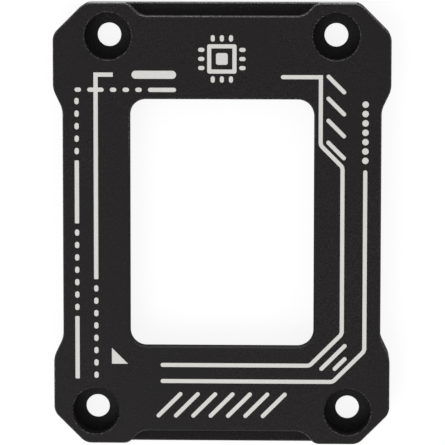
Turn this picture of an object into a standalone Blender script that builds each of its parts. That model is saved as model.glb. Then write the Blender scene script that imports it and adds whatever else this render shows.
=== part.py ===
"""Retention frame that clamps a processor into its socket on a circuit board.

The frame is one piece of black anodised aluminium, milled from both sides. Its marked face is
up and it lies on its underside, with +X across it and +Y along it. All lengths are in metres.
The frame is sized from the inside out: the processor package sets the recesses under it, and
walls of a stated thickness round those recesses set the outline.
"""

import math

import bmesh
import bpy

MM = 0.001

# Processor and socket that the frame goes over
PACKAGE_WIDTH = 37.5 * MM
PACKAGE_LENGTH = 45.0 * MM
PACKAGE_CLEARANCE = 0.35 * MM
SOCKET_WALL_SIDE = 1.75 * MM
SOCKET_WALL_END = 2.0 * MM
SOCKET_CLEARANCE = 0.3 * MM
SOCKET_SHIFT = 0.22 * MM

# Block that the frame is milled from
THICKNESS = 6.0 * MM
SIDE_WALL = 4.68 * MM
END_WALL = 10.7 * MM
EDGE_BREAK = 0.2 * MM

# Corner lugs, which stand out past the waist between them
LUG_STEP = 1.52 * MM
LUG_LENGTH = 13.95 * MM
SHOULDER_LENGTH = 3.15 * MM
SHOULDER_SHIFT = 0.12 * MM
SHOULDER_RADIUS = 4.0 * MM
CORNER_CUT = 5.05 * MM
CORNER_RADIUS = 2.4 * MM

# Ledge across each end
LEDGE_LENGTH = 30.1 * MM
LEDGE_WIDTH = 2.06 * MM
LEDGE_DROP = 2.75 * MM
LEDGE_RADIUS = 2.7 * MM

# Window, and the lip round it that presses on the processor
LIP_SIDE = 4.02 * MM
LIP_END = 2.57 * MM
LIP_THICKNESS = 2.3 * MM
WINDOW_RADIUS = 2.6 * MM
RIM_WIDTH = 1.6 * MM
RIM_HEIGHT = 0.4 * MM

# Recesses in the underside
SOCKET_RECESS_DEPTH = 2.4 * MM
RECESS_RADIUS = 1.0 * MM

# Screw holes, set by their distance from the sides and ends of the lugs
HOLE_FROM_SIDE_TOP = 8.77 * MM
HOLE_FROM_SIDE_BOTTOM = 6.74 * MM
HOLE_FROM_END = 5.28 * MM
SCREW_HOLE_DIAMETER = 3.8 * MM
COUNTERBORE_DIAMETER = 7.5 * MM
SCREW_LAND = 0.8 * MM
STUD_RELIEF_DIAMETER = 7.0 * MM
STUD_RELIEF_DEPTH = 0.5 * MM

# Marks engraved in the face
MARK_DEPTH = 0.1 * MM
CROSSING_DEPTH = 0.08 * MM
MARK_WIDTH = 0.68 * MM
DOT_LENGTH = 1.06 * MM
DOT_WIDTH = 0.71 * MM
DOT_GAP = 0.945 * MM
BAR_END_RADIUS = 0.16 * MM

# Columns and rows of the marks, by their distance from the nearest edge of the window
LEFT_LINE_OUT = 5.43 * MM
LEFT_DOTS_OUT = 8.48 * MM
RIGHT_LINE_OUT = 1.05 * MM
RIGHT_OUTER_OUT = 8.19 * MM
TOP_ROW_OUT = 3.9 * MM
SECOND_ROW_OUT = 1.49 * MM
BOTTOM_ROW_OUT = 3.0 * MM
BOTTOM_OUTER_OUT = 5.62 * MM

# Marks on the left: a column of dots and bars, and a line with a hook that dots carry on
LEFT_DOTS_DROP = 1.3 * MM
LEFT_DOTS_FOOT_OUT = 5.29 * MM
LEFT_DOTS_UPPER = 5
LEFT_DOTS_LOWER = 7
LEFT_LINE_FOOT_OUT = 5.19 * MM
LEFT_LINE_DOTS = 8
LEFT_HOOK_REACH = 2.77 * MM

# Marks above the window: a row of short marks under one thick pill
SECOND_ROW_START = 0.33 * MM
SECOND_ROW_GAP = 0.97 * MM
CROSS_BAR_LENGTH = 2.65 * MM
SECOND_PILL_LENGTH = 4.51 * MM
TOP_PILL_LENGTH = 7.14 * MM
TOP_PILL_WIDTH = 1.31 * MM
TOP_PILL_END_IN = 7.44 * MM

# Marks on the right: two bent lines, round dots over the outer one, and slanted strokes
RIGHT_HOOK_REACH = 6.38 * MM
RIGHT_HOOK_DROP = 0.32 * MM
RIGHT_STEP_DROP = 7.3 * MM
RIGHT_LINE_STEP = 3.51 * MM
INNER_BEND = 5.15 * MM
OUTER_BEND = 5.05 * MM
FOOT_END_IN = 4.89 * MM
ROUND_DOT_DIAMETER = 1.07 * MM
ROUND_DOT_PITCH = 1.5 * MM
ROUND_DOT_COUNT = 7
ROUND_DOTS_DROP = 0.76 * MM
SLANT_REACH = 3.17 * MM
SLANT_PITCH = 3.51 * MM
SLANT_COUNT = 4
SLANT_GAP = 0.88 * MM
SLANT_OUT = 4.01 * MM
FOOT_SLANT_REACHES = (4.39 * MM, 2.26 * MM)
FOOT_SLANT_GAP = 4.32 * MM
FOOT_SLANT_OUT = 3.83 * MM

# Triangle at the socket's marked corner
TRIANGLE_LEG = 2.63 * MM
TRIANGLE_GAP = 2.48 * MM
TRIANGLE_RISE = 0.14 * MM

# Picture of a chip above the window
SYMBOL_OUT = 6.45 * MM
SYMBOL_BODY = 4.7 * MM
SYMBOL_CORE = 1.9 * MM
SYMBOL_CORNER = 0.35 * MM
PIN_LENGTH = 1.05 * MM
PIN_GAP = 0.4 * MM
PIN_PITCH = 1.45 * MM

# Slanted strokes at the foot of the face
FOOT_HATCH_OUT = 9.49 * MM
FOOT_HATCH_HEIGHT = 4.2 * MM
FOOT_HATCH_PITCH = 2.8 * MM
FOOT_HATCH_COUNT = 7

# Fineness of round shapes, and how far cutters run past the faces that they open
ARC_STEP = math.radians(7.5)
MARK_ARC_STEP = math.radians(30.0)
HOLE_STEPS = 48
ROUND_DOT_STEPS = 16
OVERRUN = 1.0 * MM
OVERLAP = 0.3 * MM
SAME_POINT = 0.001 * MM

# Sizes that follow from the ones above
PACKAGE_RECESS_WIDTH = PACKAGE_WIDTH + 2 * PACKAGE_CLEARANCE
PACKAGE_RECESS_LENGTH = PACKAGE_LENGTH + 2 * PACKAGE_CLEARANCE
SOCKET_RECESS_WIDTH = PACKAGE_WIDTH + 2 * (SOCKET_WALL_SIDE + SOCKET_CLEARANCE)
SOCKET_RECESS_LENGTH = PACKAGE_LENGTH + 2 * (SOCKET_WALL_END + SOCKET_CLEARANCE)
WAIST_HALF = SOCKET_RECESS_WIDTH / 2 + SIDE_WALL
HALF_WIDTH = WAIST_HALF + LUG_STEP
HALF_LENGTH = SOCKET_RECESS_LENGTH / 2 + END_WALL
WINDOW_WIDTH = PACKAGE_WIDTH - 2 * LIP_SIDE
WINDOW_LENGTH = PACKAGE_LENGTH - 2 * LIP_END
WINDOW_TOP = SOCKET_SHIFT + WINDOW_LENGTH / 2
WINDOW_BOTTOM = SOCKET_SHIFT - WINDOW_LENGTH / 2
WINDOW_SIDE = WINDOW_WIDTH / 2
FACE = THICKNESS
LEDGE_HEIGHT = THICKNESS - LEDGE_DROP
RIM_FACE = THICKNESS - LIP_THICKNESS
RECESS_CEILING = RIM_FACE + RIM_HEIGHT
SCREW_SEAT = STUD_RELIEF_DEPTH + SCREW_LAND

LEFT_LINE_X = -WINDOW_SIDE - LEFT_LINE_OUT
LEFT_DOTS_X = -WINDOW_SIDE - LEFT_DOTS_OUT
RIGHT_LINE_X = WINDOW_SIDE + RIGHT_LINE_OUT
RIGHT_OUTER_X = WINDOW_SIDE + RIGHT_OUTER_OUT
TOP_ROW_Y = WINDOW_TOP + TOP_ROW_OUT
SECOND_ROW_Y = WINDOW_TOP + SECOND_ROW_OUT
BOTTOM_ROW_Y = WINDOW_BOTTOM - BOTTOM_ROW_OUT
BOTTOM_OUTER_Y = WINDOW_BOTTOM - BOTTOM_OUTER_OUT


def corner_turns(corners):
    """Heading of the side into each corner of a closed outline, and the turn made there."""
    count = len(corners)
    turns = []
    for index, (x, y, _) in enumerate(corners):
        before_x, before_y, _ = corners[index - 1]
        after_x, after_y, _ = corners[(index + 1) % count]
        heading_in = math.atan2(y - before_y, x - before_x)
        heading_out = math.atan2(after_y - y, after_x - x)
        turns.append((heading_in, math.remainder(heading_out - heading_in, math.tau)))
    return turns


def rounded_corners(corners, arc_step=ARC_STEP):
    """Walk a closed outline of (x, y, radius) corners and replace each one by its arc."""
    points = []
    for (x, y, radius), (heading_in, turn) in zip(corners, corner_turns(corners)):
        if radius <= 0:
            points.append((x, y))
            continue
        side = math.copysign(1.0, turn)
        tangent = radius * math.tan(abs(turn) / 2)
        start_x = x - tangent * math.cos(heading_in)
        start_y = y - tangent * math.sin(heading_in)
        centre_x = start_x - side * radius * math.sin(heading_in)
        centre_y = start_y + side * radius * math.cos(heading_in)
        steps = max(2, math.ceil(abs(turn) / arc_step - 1e-6))
        for step in range(steps + 1):
            heading = heading_in + turn * step / steps
            points.append((centre_x + side * radius * math.sin(heading),
                           centre_y - side * radius * math.cos(heading)))
    return without_repeats(points)


def without_repeats(points):
    """Drop each point of a closed outline that lies on the one before it."""
    return [point for index, point in enumerate(points)
            if math.dist(point, points[index - 1]) > SAME_POINT]


def grown_corners(corners, grow):
    """Move every side of a counterclockwise outline outwards, with its corner arcs to match."""
    grown = []
    for (x, y, radius), (heading_in, turn) in zip(corners, corner_turns(corners)):
        outwards = heading_in + turn / 2 - math.pi / 2
        reach = grow / math.cos(turn / 2)
        arc_growth = grow if turn > 0 else -grow
        new_radius = max(0.0, radius + arc_growth) if radius > 0 else 0.0
        grown.append((x + reach * math.cos(outwards), y + reach * math.sin(outwards), new_radius))
    return grown


def rectangle(width, length, radius, centre_x=0.0, centre_y=0.0):
    """Corners of an upright rectangle, counterclockwise."""
    half_x = width / 2
    half_y = length / 2
    return [(centre_x + side_x * half_x, centre_y + side_y * half_y, radius)
            for side_x, side_y in ((-1, -1), (1, -1), (1, 1), (-1, 1))]


def new_collection(name):
    collection = bpy.data.collections.new(name)
    bpy.context.scene.collection.children.link(collection)
    return collection


def new_material(name, colour, roughness, metallic):
    material = bpy.data.materials.new(name)
    material.use_nodes = True
    shader = material.node_tree.nodes["Principled BSDF"]
    shader.inputs["Base Color"].default_value = (*colour, 1.0)
    shader.inputs["Roughness"].default_value = roughness
    shader.inputs["Metallic"].default_value = metallic
    material.diffuse_color = (*colour, 1.0)
    return material


def flat_solid(name, outlines, low, high, collection):
    """Plate between two heights with the given outlines; an outline inside another is a hole."""
    curve = bpy.data.curves.new(name + "_outline", "CURVE")
    curve.dimensions = "2D"
    curve.fill_mode = "BOTH"
    curve.extrude = (high - low) / 2
    for points in outlines:
        spline = curve.splines.new("POLY")
        spline.points.add(len(points) - 1)
        for spline_point, (x, y) in zip(spline.points, points):
            spline_point.co = (x, y, 0.0, 1.0)
        spline.use_cyclic_u = True
    outline = bpy.data.objects.new(name + "_outline", curve)
    outline.location.z = (low + high) / 2
    collection.objects.link(outline)
    bpy.context.view_layer.update()
    evaluated = outline.evaluated_get(bpy.context.evaluated_depsgraph_get())
    mesh = bpy.data.meshes.new_from_object(evaluated)
    mesh.name = name
    welded = bmesh.new()
    welded.from_mesh(mesh)
    bmesh.ops.remove_doubles(welded, verts=welded.verts, dist=SAME_POINT)
    bmesh.ops.dissolve_limit(welded, angle_limit=math.radians(0.5), verts=welded.verts,
                             edges=welded.edges)
    bmesh.ops.recalc_face_normals(welded, faces=welded.faces)
    welded.to_mesh(mesh)
    welded.free()
    solid = bpy.data.objects.new(name, mesh)
    solid.matrix_world = outline.matrix_world
    collection.objects.link(solid)
    bpy.data.objects.remove(outline)
    bpy.data.curves.remove(curve)
    return solid


def chamfer_rims(solid, width, heights):
    """Chamfer the rims of a plate that lie at the given heights."""
    mesh = solid.data
    weights = mesh.attributes.new("bevel_weight_edge", "FLOAT", "EDGE")
    base = solid.location.z
    for edge in mesh.edges:
        levels = [mesh.vertices[index].co.z + base for index in edge.vertices]
        on_rim = any(all(abs(level - height) < 0.01 * MM for level in levels) for height in heights)
        weights.data[edge.index].value = 1.0 if on_rim else 0.0
    bevel = solid.modifiers.new("Chamfer", "BEVEL")
    bevel.limit_method = "WEIGHT"
    bevel.offset_type = "OFFSET"
    bevel.width = width
    bevel.segments = 1
    bevel.use_clamp_overlap = False


def turned_solid(name, profile, steps, collection):
    """Turn a profile of (radius, height) points, listed from the top down, about the Z axis."""
    mesh = bpy.data.meshes.new(name)
    vertices = [(radius, 0.0, height) for radius, height in profile]
    edges = [(index, index + 1) for index in range(len(profile) - 1)]
    mesh.from_pydata(vertices, edges, [])
    solid = bpy.data.objects.new(name, mesh)
    collection.objects.link(solid)
    screw = solid.modifiers.new("Turn", "SCREW")
    screw.axis = "Z"
    screw.angle = math.tau
    screw.steps = steps
    screw.render_steps = steps
    screw.use_merge_vertices = True
    screw.merge_threshold = SAME_POINT
    return solid


def as_cutter(solid):
    solid.hide_render = True
    solid.display_type = "WIRE"
    return solid


def frame_corners():
    """Corners of the whole outline: four lugs, cut off at 45 degrees, and a waist between them."""
    lug_inner = HALF_LENGTH - LUG_LENGTH
    waist_end = lug_inner - SHOULDER_LENGTH
    right_side = [
        (HALF_WIDTH - CORNER_CUT, -HALF_LENGTH, CORNER_RADIUS),
        (HALF_WIDTH, -HALF_LENGTH + CORNER_CUT, CORNER_RADIUS),
        (HALF_WIDTH, SHOULDER_SHIFT - lug_inner, SHOULDER_RADIUS),
        (WAIST_HALF, SHOULDER_SHIFT - waist_end, SHOULDER_RADIUS),
        (WAIST_HALF, SHOULDER_SHIFT + waist_end, SHOULDER_RADIUS),
        (HALF_WIDTH, SHOULDER_SHIFT + lug_inner, SHOULDER_RADIUS),
        (HALF_WIDTH, HALF_LENGTH - CORNER_CUT, CORNER_RADIUS),
        (HALF_WIDTH - CORNER_CUT, HALF_LENGTH, CORNER_RADIUS),
    ]
    left_side = [(-x, y, radius) for x, y, radius in reversed(right_side)]
    return right_side + left_side


def make_block(collection):
    """Plate with the frame's outline, its outer edges broken on both faces."""
    block = flat_solid("retention_frame", [rounded_corners(frame_corners())], 0.0, THICKNESS, collection)
    chamfer_rims(block, EDGE_BREAK, (0.0, THICKNESS))
    return block


def lofted_solid(name, sections, collection):
    """Solid through (outline, height) sections, lowest first, with as many points in each."""
    mesh = bpy.data.meshes.new(name)
    loft = bmesh.new()
    rings = [[loft.verts.new((x, y, height)) for x, y in outline] for outline, height in sections]
    loft.faces.new(rings[0][::-1])
    loft.faces.new(rings[-1])
    for lower, upper in zip(rings, rings[1:]):
        for index in range(len(lower)):
            loft.faces.new((lower[index - 1], lower[index], upper[index], upper[index - 1]))
    loft.to_mesh(mesh)
    loft.free()
    solid = bpy.data.objects.new(name, mesh)
    collection.objects.link(solid)
    return solid


def cut_with_broken_edge(name, corners, low, cutters):
    """Pocket that opens at the face, flared at 45 degrees to break its edge there."""
    outline = rounded_corners(corners)
    flared = rounded_corners(grown_corners(corners, EDGE_BREAK + OVERRUN))
    as_cutter(lofted_solid(name, [(outline, low), (outline, FACE - EDGE_BREAK), (flared, FACE + OVERRUN)],
                           cutters))


def cut_ledges(cutters):
    """Step across each end, its inner side running out to the end at 45 degrees."""
    for name, end in (("top_ledge", 1), ("bottom_ledge", -1)):
        outer_half = LEDGE_LENGTH / 2
        inner_half = outer_half - LEDGE_WIDTH
        inner_y = HALF_LENGTH - LEDGE_WIDTH
        corners = [
            (-inner_half, inner_y, LEDGE_RADIUS),
            (inner_half, inner_y, LEDGE_RADIUS),
            (outer_half + OVERRUN, HALF_LENGTH + OVERRUN, 0.0),
            (-outer_half - OVERRUN, HALF_LENGTH + OVERRUN, 0.0),
        ]
        if end < 0:
            corners = [(-x, -y, radius) for x, y, radius in corners]
        cut_with_broken_edge(name, corners, LEDGE_HEIGHT, cutters)


def cut_window(cutters):
    corners = rectangle(WINDOW_WIDTH, WINDOW_LENGTH, WINDOW_RADIUS, 0.0, SOCKET_SHIFT)
    cut_with_broken_edge("window", corners, -OVERRUN, cutters)


def cut_recesses(cutters):
    """Recesses for the socket and the package, with the pressing rim left round the window."""
    rim_width = WINDOW_WIDTH + 2 * RIM_WIDTH
    rim_length = WINDOW_LENGTH + 2 * RIM_WIDTH
    rim_radius = WINDOW_RADIUS + RIM_WIDTH
    socket = rectangle(SOCKET_RECESS_WIDTH, SOCKET_RECESS_LENGTH, RECESS_RADIUS, 0.0, SOCKET_SHIFT)
    package = rectangle(PACKAGE_RECESS_WIDTH, PACKAGE_RECESS_LENGTH, RECESS_RADIUS, 0.0, SOCKET_SHIFT)
    rim = rectangle(rim_width, rim_length, rim_radius, 0.0, SOCKET_SHIFT)
    wide_rim = grown_corners(rim, OVERLAP)
    as_cutter(flat_solid("socket_recess", [rounded_corners(socket)],
                         -OVERRUN, SOCKET_RECESS_DEPTH, cutters))
    as_cutter(flat_solid("package_recess", [rounded_corners(package), rounded_corners(rim)],
                         -OVERRUN, RECESS_CEILING, cutters))
    as_cutter(flat_solid("rim_face", [rounded_corners(wide_rim)], -OVERRUN, RIM_FACE, cutters))


def cut_screw_holes(cutters):
    """Four stepped holes: counterbore for the screw head, thin land, relief for the board's stud."""
    hole = SCREW_HOLE_DIAMETER / 2
    bore = COUNTERBORE_DIAMETER / 2
    relief = STUD_RELIEF_DIAMETER / 2
    profile = [
        (0.0, FACE + OVERRUN),
        (bore + EDGE_BREAK + OVERRUN, FACE + OVERRUN),
        (bore, FACE - EDGE_BREAK),
        (bore, SCREW_SEAT),
        (hole, SCREW_SEAT),
        (hole, STUD_RELIEF_DEPTH),
        (relief, STUD_RELIEF_DEPTH),
        (relief, -OVERRUN),
        (0.0, -OVERRUN),
    ]
    places = [
        ("top", HALF_WIDTH - HOLE_FROM_SIDE_TOP, HALF_LENGTH - HOLE_FROM_END),
        ("bottom", HALF_WIDTH - HOLE_FROM_SIDE_BOTTOM, HOLE_FROM_END - HALF_LENGTH),
    ]
    for row, x, y in places:
        for column, side in (("left", -1), ("right", 1)):
            cutter = as_cutter(turned_solid(f"screw_hole_{row}_{column}", profile, HOLE_STEPS, cutters))
            cutter.location = (side * x, y, 0.0)


def bar(x, y, width, length, radius):
    """Upright bar with rounded ends, centred on (x, y)."""
    return rounded_corners(rectangle(width, length, radius, x, y), MARK_ARC_STEP)


def pill(x, y, width, length):
    """Bar whose ends are half circles along its shorter size."""
    return bar(x, y, width, length, min(width, length) / 2)


def stroke(path, width=MARK_WIDTH):
    """Line of constant width along a path, with sharp bends and half round ends."""
    half = width / 2
    headings = [math.atan2(after[1] - before[1], after[0] - before[0])
                for before, after in zip(path, path[1:])]
    right = []
    left = []
    for index, (x, y) in enumerate(path[1:-1]):
        turn = math.remainder(headings[index + 1] - headings[index], math.tau)
        normal = headings[index] + turn / 2 - math.pi / 2
        reach = half / math.cos(turn / 2)
        right.append((x + reach * math.cos(normal), y + reach * math.sin(normal)))
        left.append((x - reach * math.cos(normal), y - reach * math.sin(normal)))
    steps = round(math.pi / MARK_ARC_STEP)
    ends = []
    for (x, y), heading in ((path[-1], headings[-1]), (path[0], headings[0] + math.pi)):
        centre_x = x - half * math.cos(heading)
        centre_y = y - half * math.sin(heading)
        angles = [heading - math.pi / 2 + math.pi * step / steps for step in range(steps + 1)]
        ends.append([(centre_x + half * math.cos(angle), centre_y + half * math.sin(angle))
                     for angle in angles])
    return right + ends[0] + left[::-1] + ends[1]


def slant(x, y, reach, rise):
    """Straight stroke from (x, y) at 45 degrees, as wide and as high as its reach."""
    inset = MARK_WIDTH / 2 * (1 - math.sqrt(0.5))
    return stroke([(x + inset, y + rise * inset), (x + reach - inset, y + rise * (reach - inset))])


def disc(x, y, diameter):
    """Round dot."""
    radius = diameter / 2
    angles = [math.tau * step / ROUND_DOT_STEPS for step in range(ROUND_DOT_STEPS)]
    return [(x + radius * math.cos(angle), y + radius * math.sin(angle)) for angle in angles]


def run_down(x, start_y, lengths):
    """Column of marks from start_y downwards, with the same gap after each one."""
    marks = []
    y = start_y
    for length in lengths:
        end_radius = DOT_WIDTH / 2 if length == DOT_LENGTH else BAR_END_RADIUS
        marks.append(bar(x, y - length / 2, DOT_WIDTH, length, end_radius))
        y -= length + DOT_GAP
    return marks


def left_column():
    """Dots and two long bars down the left side; the bars share what the dots leave."""
    start_y = SECOND_ROW_Y - LEFT_DOTS_DROP
    foot_y = WINDOW_BOTTOM - LEFT_DOTS_FOOT_OUT
    dots = LEFT_DOTS_UPPER + LEFT_DOTS_LOWER
    long_bar = (start_y - foot_y - dots * (DOT_LENGTH + DOT_GAP) - DOT_GAP) / 2
    lengths = [DOT_LENGTH] * LEFT_DOTS_UPPER + [long_bar] + [DOT_LENGTH] * LEFT_DOTS_LOWER + [long_bar]
    return run_down(LEFT_DOTS_X, start_y, lengths)


def left_line():
    """Line with a hook at its head, and the dots that carry it on to its foot."""
    foot_y = WINDOW_BOTTOM - LEFT_LINE_FOOT_OUT
    line_end = foot_y + LEFT_LINE_DOTS * (DOT_LENGTH + DOT_GAP)
    line = stroke([(LEFT_LINE_X + LEFT_HOOK_REACH, TOP_ROW_Y), (LEFT_LINE_X, TOP_ROW_Y),
                   (LEFT_LINE_X, line_end)], DOT_WIDTH)
    return [line] + run_down(LEFT_LINE_X, line_end - DOT_GAP, [DOT_LENGTH] * LEFT_LINE_DOTS)


def second_row(crossing):
    """Marks of the second row; the one that crosses the left line is returned by itself."""
    lengths = [DOT_LENGTH, CROSS_BAR_LENGTH, DOT_LENGTH, DOT_LENGTH, DOT_LENGTH, SECOND_PILL_LENGTH]
    marks = []
    x = LEFT_DOTS_X - SECOND_ROW_START
    for length in lengths:
        if (length == CROSS_BAR_LENGTH) == crossing:
            marks.append(pill(x + length / 2, SECOND_ROW_Y, length, DOT_WIDTH))
        x += length + SECOND_ROW_GAP
    return marks


def top_pill():
    """Thick pill over the right end of the second row."""
    right_end = TOP_PILL_END_IN - WINDOW_SIDE
    return [pill(right_end - TOP_PILL_LENGTH / 2, TOP_ROW_Y, TOP_PILL_LENGTH, TOP_PILL_WIDTH)]


def right_lines():
    """Two lines that run down the right side and turn along the foot of the window."""
    foot_end = FOOT_END_IN - WINDOW_SIDE
    top_y = TOP_ROW_Y - RIGHT_HOOK_DROP
    step_y = WINDOW_TOP - RIGHT_STEP_DROP
    lower_x = RIGHT_LINE_X + RIGHT_LINE_STEP
    inner = stroke([
        (RIGHT_LINE_X - RIGHT_HOOK_REACH, top_y),
        (RIGHT_LINE_X, top_y),
        (RIGHT_LINE_X, step_y),
        (lower_x, step_y - RIGHT_LINE_STEP),
        (lower_x, BOTTOM_ROW_Y + INNER_BEND),
        (lower_x - INNER_BEND, BOTTOM_ROW_Y),
        (foot_end, BOTTOM_ROW_Y),
    ])
    outer = stroke([
        (RIGHT_OUTER_X, WINDOW_TOP - ROUND_DOTS_DROP - ROUND_DOT_COUNT * ROUND_DOT_PITCH),
        (RIGHT_OUTER_X, BOTTOM_OUTER_Y + OUTER_BEND),
        (RIGHT_OUTER_X - OUTER_BEND, BOTTOM_OUTER_Y),
        (foot_end, BOTTOM_OUTER_Y),
    ])
    return [inner, outer]


def right_dots():
    """Round dots above the outer line."""
    first_y = WINDOW_TOP - ROUND_DOTS_DROP
    return [disc(RIGHT_OUTER_X, first_y - index * ROUND_DOT_PITCH, ROUND_DOT_DIAMETER)
            for index in range(ROUND_DOT_COUNT)]


def right_slants():
    """Slanted strokes beside the right lines: a falling row above, two rising ones below."""
    left_x = RIGHT_LINE_X + SLANT_GAP
    top_y = WINDOW_TOP + SLANT_OUT
    foot_x = RIGHT_LINE_X + FOOT_SLANT_GAP
    foot_y = WINDOW_BOTTOM - FOOT_SLANT_OUT
    upper = [slant(left_x, top_y - index * SLANT_PITCH, SLANT_REACH, -1)
             for index in range(SLANT_COUNT)]
    return upper + [slant(foot_x - reach, foot_y, reach, 1) for reach in FOOT_SLANT_REACHES]


def corner_triangle():
    """Solid triangle that marks the corner where the processor's own mark goes."""
    left_x = LEFT_LINE_X + TRIANGLE_GAP
    foot_y = BOTTOM_ROW_Y + TRIANGLE_RISE
    return [[(left_x, foot_y), (left_x + TRIANGLE_LEG, foot_y), (left_x, foot_y + TRIANGLE_LEG)]]


def chip_symbol():
    """Plain picture of a chip above the window: a square, its core and three pins a side."""
    centre_y = WINDOW_TOP + SYMBOL_OUT
    body_corners = rectangle(SYMBOL_BODY, SYMBOL_BODY, SYMBOL_CORNER, 0.0, centre_y)
    marks = [
        rounded_corners(body_corners, MARK_ARC_STEP),
        rounded_corners(grown_corners(body_corners, -MARK_WIDTH), MARK_ARC_STEP),
        bar(0.0, centre_y, SYMBOL_CORE, SYMBOL_CORE, SYMBOL_CORNER),
    ]
    reach = SYMBOL_BODY / 2 + PIN_GAP + PIN_LENGTH / 2
    for side in (-1, 1):
        for index in (-1, 0, 1):
            along = index * PIN_PITCH
            marks.append(pill(along, centre_y + side * reach, MARK_WIDTH, PIN_LENGTH))
            marks.append(pill(side * reach, centre_y + along, PIN_LENGTH, MARK_WIDTH))
    return marks


def foot_hatch():
    """Row of plain slanted strokes at the foot of the face."""
    low_y = WINDOW_BOTTOM - FOOT_HATCH_OUT - FOOT_HATCH_HEIGHT / 2
    middle = (FOOT_HATCH_COUNT - 1) / 2
    return [slant((index - middle) * FOOT_HATCH_PITCH - FOOT_HATCH_HEIGHT / 2, low_y,
                  FOOT_HATCH_HEIGHT, 1) for index in range(FOOT_HATCH_COUNT)]


def cut_marks(cutters):
    """Shallow pockets of the engraved marks that stand clear of each other."""
    marks = (left_column() + left_line() + second_row(False) + top_pill() + right_lines()
             + right_dots() + right_slants() + corner_triangle() + chip_symbol() + foot_hatch())
    as_cutter(flat_solid("marks", marks, FACE - MARK_DEPTH, FACE + OVERRUN, cutters))


def cut_crossing_mark(cutters):
    """Pocket of the bar that crosses the left line, a little shallower than the line."""
    as_cutter(flat_solid("crossing_mark", second_row(True), FACE - CROSSING_DEPTH, FACE + OVERRUN,
                         cutters))


def cut_with(target, cutters, name):
    cut = target.modifiers.new(name, "BOOLEAN")
    cut.operation = "DIFFERENCE"
    cut.operand_type = "COLLECTION"
    cut.collection = cutters
    cut.solver = "EXACT"


def main():
    for leftover in list(bpy.data.objects):
        bpy.data.objects.remove(leftover)
    parts = new_collection("socket_retention_frame")
    milling = new_collection("milling_cutters")
    engraving = new_collection("engraving_cutters")
    crossing = new_collection("crossing_cutters")
    frame = make_block(parts)
    frame.data.materials.append(new_material("anodised_black", (0.018, 0.018, 0.019), 0.55, 0.4))
    cut_ledges(milling)
    cut_recesses(milling)
    cut_window(milling)
    cut_screw_holes(milling)
    cut_marks(engraving)
    cut_crossing_mark(crossing)
    cut_with(frame, milling, "Milled")
    cut_with(frame, engraving, "Engraved")
    cut_with(frame, crossing, "Crossed")


main()
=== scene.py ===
"""Fine surfaces, finishes, light and camera for a milled processor socket frame.

The frame lies on its underside with its marked face up. All lengths are in metres, in the frame's
own axes: +X to the right, +Y along it and +Z up. One surface stands for the milled block, one for
the engraved marks, and both are worked out with numpy from outlines with round corners.
"""

import bpy
import numpy as np
from bpy.props import FloatProperty, FloatVectorProperty, IntProperty, PointerProperty
from mathutils import Matrix, Vector
from mathutils.geometry import delaunay_2d_cdt


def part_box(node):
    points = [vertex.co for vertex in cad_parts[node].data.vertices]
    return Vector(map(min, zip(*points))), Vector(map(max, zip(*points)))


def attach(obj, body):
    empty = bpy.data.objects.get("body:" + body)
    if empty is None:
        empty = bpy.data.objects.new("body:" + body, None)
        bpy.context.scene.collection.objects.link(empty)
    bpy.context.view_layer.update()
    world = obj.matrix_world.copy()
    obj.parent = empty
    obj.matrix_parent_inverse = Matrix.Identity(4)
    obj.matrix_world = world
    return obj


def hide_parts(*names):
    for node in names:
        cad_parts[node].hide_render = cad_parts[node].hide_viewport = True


bl_info = {
    "name": "Socket Frame Looks",
    "version": (1, 0, 0),
    "blender": (4, 5, 0),
    "location": "View3D > Sidebar > Socket Frame",
    "description": "Builds a milled socket frame with its engraved marks, stage and camera",
    "category": "Add Mesh",
}

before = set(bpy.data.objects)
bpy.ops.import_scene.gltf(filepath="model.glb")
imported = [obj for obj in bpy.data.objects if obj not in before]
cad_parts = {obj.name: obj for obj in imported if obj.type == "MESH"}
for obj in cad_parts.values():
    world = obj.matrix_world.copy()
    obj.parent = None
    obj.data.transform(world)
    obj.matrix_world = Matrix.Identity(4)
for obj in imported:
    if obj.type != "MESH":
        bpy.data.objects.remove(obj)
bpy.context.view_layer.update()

MM = 0.001
NODE = "retention_frame"
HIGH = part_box(NODE)[1]
HALF_WIDTH = HIGH.x
HALF_LENGTH = HIGH.y
FACE = HIGH.z

# Block and its corner lugs
LUG_STEP = 1.52 * MM
LUG_LENGTH = 13.95 * MM
SHOULDER_LENGTH = 3.15 * MM
SHOULDER_SHIFT = 0.12 * MM
SHOULDER_RADIUS = 4.0 * MM
CORNER_CUT = 5.05 * MM
CORNER_RADIUS = 2.4 * MM

# Ledge across each end
LEDGE_LENGTH = 30.1 * MM
LEDGE_WIDTH = 2.06 * MM
LEDGE_HEIGHT = FACE - 2.75 * MM
LEDGE_RADIUS = 2.7 * MM
LEDGE_TIP_RADIUS = 1.7 * MM

# How far the socket's middle lies along +Y, and the window, the pressing rim and the recesses round
# it, as (half width, half length, corner radius)
SOCKET_SHIFT = 0.22 * MM
WINDOW = (14.73 * MM, 19.93 * MM, 2.6 * MM)
RIM = (16.33 * MM, 21.53 * MM, 4.2 * MM)
PACKAGE = (19.1 * MM, 22.85 * MM, 1.0 * MM)
SOCKET = (20.8 * MM, 24.8 * MM, 1.0 * MM)
RIM_FACE = FACE - 2.3 * MM
CEILING = RIM_FACE + 0.4 * MM
SOCKET_DEPTH = 2.4 * MM

# Screw holes: places of the upper and lower pair, and the steps of each hole
HOLE_X_TOP = HALF_WIDTH - 8.77 * MM
HOLE_X_BOTTOM = HALF_WIDTH - 6.74 * MM
HOLE_Y = HALF_LENGTH - 5.28 * MM
BORE_RADIUS = 3.75 * MM
HOLE_RADIUS = 1.9 * MM
RELIEF_RADIUS = 3.5 * MM
RELIEF_DEPTH = 0.5 * MM
SEAT_HEIGHT = 1.3 * MM

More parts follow.
